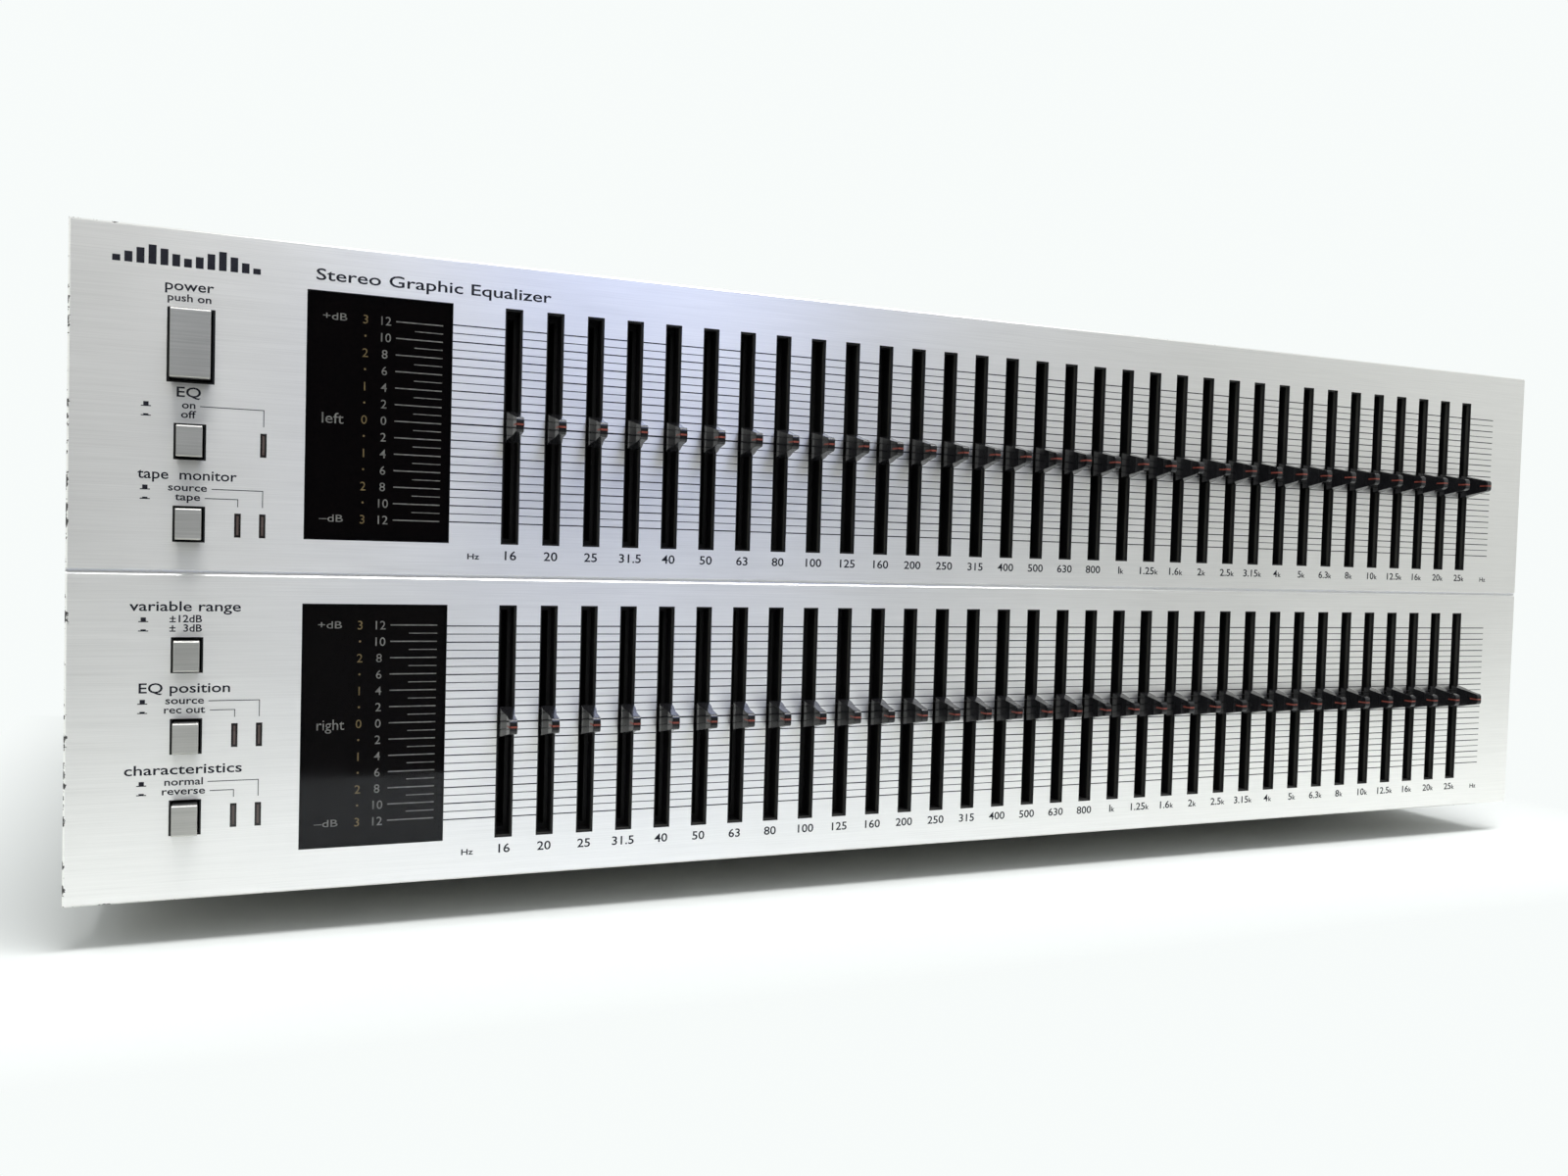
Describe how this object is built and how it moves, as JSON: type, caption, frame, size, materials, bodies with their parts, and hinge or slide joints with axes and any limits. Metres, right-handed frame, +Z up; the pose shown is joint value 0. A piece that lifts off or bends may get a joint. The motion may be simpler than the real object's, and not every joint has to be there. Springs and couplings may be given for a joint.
{
  "type": "graphic equalizer",
  "caption": "Two-channel third-octave graphic equalizer for a hi-fi rack: brushed front with two banks of slider controls, scale windows, push buttons, and a vented steel case.",
  "frame": {"origin": "middle of the overall box, on the surface the feet stand on", "axes": "+X to the right and +Y to the back seen from the front, +Z up"},
  "size_m": [0.43, 0.338, 0.153],
  "materials": {
    "brushed_panel": "horizontally brushed, clear anodised",
    "black_frame": "satin black moulding",
    "smoked_acrylic": "polished smoked clear plastic",
    "indicator_lens": "dark translucent lens",
    "pot_case": "black moulding",
    "circuit_board": "phenolic board",
    "switch_case": "moulded",
    "cover_paint": "fine textured dark grey paint",
    "plated_steel": "zinc plated",
    "rear_paint": "satin paint",
    "foot_plastic": "moulded",
    "screw_steel": "black oxide",
    "socket_metal": "nickel plated",
    "gland_plastic": "moulded",
    "core_steel": "varnished laminations",
    "winding_tape": "polyester tape",
    "component_cases": "moulded and sleeved",
    "button_metal": "satin, brushed",
    "slider_plastic": "polished black with an orange line"
  },
  "bodies": {
    "unit": {"front_panel": "brushed_panel", "front_frame": "black_frame", "scale_window_left": "smoked_acrylic", "scale_window_right": "smoked_acrylic", "indicator_lenses": "indicator_lens", "slide_pots_left": "pot_case", "slide_pots_right": "pot_case", "slider_boards": "circuit_board", "push_switches": "switch_case", "switch_board": "circuit_board", "top_cover": "cover_paint", "base_chassis": "plated_steel", "rear_panel": "rear_paint", "feet": "foot_plastic", "screws": "screw_steel", "phono_sockets": "socket_metal", "mains_cord_gland": "gland_plastic", "transformer_core": "core_steel", "transformer_coil": "winding_tape", "main_board": "circuit_board", "board_components": "component_cases"},
    "power_button": {"power_button": "button_metal"},
    "eq_button": {"eq_button": "button_metal"},
    "tape_monitor_button": {"tape_monitor_button": "button_metal"},
    "variable_range_button": {"variable_range_button": "button_metal"},
    "eq_position_button": {"eq_position_button": "button_metal"},
    "characteristics_button": {"characteristics_button": "button_metal"},
    "slider_16hz": {"slider_16hz": "slider_plastic"},
    "slider_20hz": {"slider_20hz": "slider_plastic"},
    "slider_25hz": {"slider_25hz": "slider_plastic"},
    "slider_31_5hz": {"slider_31_5hz": "slider_plastic"},
    "slider_40hz": {"slider_40hz": "slider_plastic"},
    "slider_50hz": {"slider_50hz": "slider_plastic"},
    "slider_63hz": {"slider_63hz": "slider_plastic"},
    "slider_80hz": {"slider_80hz": "slider_plastic"},
    "slider_100hz": {"slider_100hz": "slider_plastic"},
    "slider_125hz": {"slider_125hz": "slider_plastic"},
    "slider_160hz": {"slider_160hz": "slider_plastic"},
    "slider_200hz": {"slider_200hz": "slider_plastic"},
    "slider_250hz": {"slider_250hz": "slider_plastic"},
    "slider_315hz": {"slider_315hz": "slider_plastic"},
    "slider_400hz": {"slider_400hz": "slider_plastic"},
    "slider_500hz": {"slider_500hz": "slider_plastic"},
    "slider_630hz": {"slider_630hz": "slider_plastic"},
    "slider_800hz": {"slider_800hz": "slider_plastic"},
    "slider_1khz": {"slider_1khz": "slider_plastic"},
    "slider_1_25khz": {"slider_1_25khz": "slider_plastic"},
    "slider_1_6khz": {"slider_1_6khz": "slider_plastic"},
    "slider_2khz": {"slider_2khz": "slider_plastic"},
    "slider_2_5khz": {"slider_2_5khz": "slider_plastic"},
    "slider_3_15khz": {"slider_3_15khz": "slider_plastic"},
    "slider_4khz": {"slider_4khz": "slider_plastic"},
    "slider_5khz": {"slider_5khz": "slider_plastic"},
    "slider_6_3khz": {"slider_6_3khz": "slider_plastic"},
    "slider_8khz": {"slider_8khz": "slider_plastic"},
    "slider_10khz": {"slider_10khz": "slider_plastic"},
    "slider_12_5khz": {"slider_12_5khz": "slider_plastic"},
    "slider_16khz": {"slider_16khz": "slider_plastic"},
    "slider_20khz": {"slider_20khz": "slider_plastic"},
    "slider_25khz": {"slider_25khz": "slider_plastic"}
  },
  "joints": [
    {"name": "power_button_push", "type": "slide", "parent": "unit", "child": "power_button", "axis": [0, 1, 0], "range_m": [0, 0.003], "stiffness_N_per_m": 500, "springref_m": -0.0015},
    {"name": "eq_button_push", "type": "slide", "parent": "unit", "child": "eq_button", "axis": [0, 1, 0], "range_m": [0, 0.003], "stiffness_N_per_m": 500, "springref_m": -0.0015},
    {"name": "tape_monitor_button_push", "type": "slide", "parent": "unit", "child": "tape_monitor_button", "axis": [0, 1, 0], "range_m": [0, 0.003], "stiffness_N_per_m": 500, "springref_m": -0.0015},
    {"name": "variable_range_button_push", "type": "slide", "parent": "unit", "child": "variable_range_button", "axis": [0, 1, 0], "range_m": [0, 0.003], "stiffness_N_per_m": 500, "springref_m": -0.0015},
    {"name": "eq_position_button_push", "type": "slide", "parent": "unit", "child": "eq_position_button", "axis": [0, 1, 0], "range_m": [0, 0.003], "stiffness_N_per_m": 500, "springref_m": -0.0015},
    {"name": "characteristics_button_push", "type": "slide", "parent": "unit", "child": "characteristics_button", "axis": [0, 1, 0], "range_m": [0, 0.003], "stiffness_N_per_m": 500, "springref_m": -0.0015},
    {"name": "slider_16hz_travel", "type": "slide", "parent": "unit", "child": "slider_16hz", "axis": [0, 0, 1], "range_m": [-0.0225, 0.0225]},
    {"name": "slider_20hz_travel", "type": "slide", "parent": "unit", "child": "slider_20hz", "axis": [0, 0, 1], "range_m": [-0.0225, 0.0225]},
    {"name": "slider_25hz_travel", "type": "slide", "parent": "unit", "child": "slider_25hz", "axis": [0, 0, 1], "range_m": [-0.0225, 0.0225]},
    {"name": "slider_31_5hz_travel", "type": "slide", "parent": "unit", "child": "slider_31_5hz", "axis": [0, 0, 1], "range_m": [-0.0225, 0.0225]},
    {"name": "slider_40hz_travel", "type": "slide", "parent": "unit", "child": "slider_40hz", "axis": [0, 0, 1], "range_m": [-0.0225, 0.0225]},
    {"name": "slider_50hz_travel", "type": "slide", "parent": "unit", "child": "slider_50hz", "axis": [0, 0, 1], "range_m": [-0.0225, 0.0225]},
    {"name": "slider_63hz_travel", "type": "slide", "parent": "unit", "child": "slider_63hz", "axis": [0, 0, 1], "range_m": [-0.0225, 0.0225]},
    {"name": "slider_80hz_travel", "type": "slide", "parent": "unit", "child": "slider_80hz", "axis": [0, 0, 1], "range_m": [-0.0225, 0.0225]},
    {"name": "slider_100hz_travel", "type": "slide", "parent": "unit", "child": "slider_100hz", "axis": [0, 0, 1], "range_m": [-0.0225, 0.0225]},
    {"name": "slider_125hz_travel", "type": "slide", "parent": "unit", "child": "slider_125hz", "axis": [0, 0, 1], "range_m": [-0.0225, 0.0225]},
    {"name": "slider_160hz_travel", "type": "slide", "parent": "unit", "child": "slider_160hz", "axis": [0, 0, 1], "range_m": [-0.0225, 0.0225]},
    {"name": "slider_200hz_travel", "type": "slide", "parent": "unit", "child": "slider_200hz", "axis": [0, 0, 1], "range_m": [-0.0225, 0.0225]},
    {"name": "slider_250hz_travel", "type": "slide", "parent": "unit", "child": "slider_250hz", "axis": [0, 0, 1], "range_m": [-0.0225, 0.0225]},
    {"name": "slider_315hz_travel", "type": "slide", "parent": "unit", "child": "slider_315hz", "axis": [0, 0, 1], "range_m": [-0.0225, 0.0225]},
    {"name": "slider_400hz_travel", "type": "slide", "parent": "unit", "child": "slider_400hz", "axis": [0, 0, 1], "range_m": [-0.0225, 0.0225]},
    {"name": "slider_500hz_travel", "type": "slide", "parent": "unit", "child": "slider_500hz", "axis": [0, 0, 1], "range_m": [-0.0225, 0.0225]},
    {"name": "slider_630hz_travel", "type": "slide", "parent": "unit", "child": "slider_630hz", "axis": [0, 0, 1], "range_m": [-0.0225, 0.0225]},
    {"name": "slider_800hz_travel", "type": "slide", "parent": "unit", "child": "slider_800hz", "axis": [0, 0, 1], "range_m": [-0.0225, 0.0225]},
    {"name": "slider_1khz_travel", "type": "slide", "parent": "unit", "child": "slider_1khz", "axis": [0, 0, 1], "range_m": [-0.0225, 0.0225]},
    {"name": "slider_1_25khz_travel", "type": "slide", "parent": "unit", "child": "slider_1_25khz", "axis": [0, 0, 1], "range_m": [-0.0225, 0.0225]},
    {"name": "slider_1_6khz_travel", "type": "slide", "parent": "unit", "child": "slider_1_6khz", "axis": [0, 0, 1], "range_m": [-0.0225, 0.0225]},
    {"name": "slider_2khz_travel", "type": "slide", "parent": "unit", "child": "slider_2khz", "axis": [0, 0, 1], "range_m": [-0.0225, 0.0225]},
    {"name": "slider_2_5khz_travel", "type": "slide", "parent": "unit", "child": "slider_2_5khz", "axis": [0, 0, 1], "range_m": [-0.0225, 0.0225]},
    {"name": "slider_3_15khz_travel", "type": "slide", "parent": "unit", "child": "slider_3_15khz", "axis": [0, 0, 1], "range_m": [-0.0225, 0.0225]},
    {"name": "slider_4khz_travel", "type": "slide", "parent": "unit", "child": "slider_4khz", "axis": [0, 0, 1], "range_m": [-0.0225, 0.0225]},
    {"name": "slider_5khz_travel", "type": "slide", "parent": "unit", "child": "slider_5khz", "axis": [0, 0, 1], "range_m": [-0.0225, 0.0225]},
    {"name": "slider_6_3khz_travel", "type": "slide", "parent": "unit", "child": "slider_6_3khz", "axis": [0, 0, 1], "range_m": [-0.0225, 0.0225]},
    {"name": "slider_8khz_travel", "type": "slide", "parent": "unit", "child": "slider_8khz", "axis": [0, 0, 1], "range_m": [-0.0225, 0.0225]},
    {"name": "slider_10khz_travel", "type": "slide", "parent": "unit", "child": "slider_10khz", "axis": [0, 0, 1], "range_m": [-0.0225, 0.0225]},
    {"name": "slider_12_5khz_travel", "type": "slide", "parent": "unit", "child": "slider_12_5khz", "axis": [0, 0, 1], "range_m": [-0.0225, 0.0225]},
    {"name": "slider_16khz_travel", "type": "slide", "parent": "unit", "child": "slider_16khz", "axis": [0, 0, 1], "range_m": [-0.0225, 0.0225]},
    {"name": "slider_20khz_travel", "type": "slide", "parent": "unit", "child": "slider_20khz", "axis": [0, 0, 1], "range_m": [-0.0225, 0.0225]},
    {"name": "slider_25khz_travel", "type": "slide", "parent": "unit", "child": "slider_25khz", "axis": [0, 0, 1], "range_m": [-0.0225, 0.0225]}
  ]
}
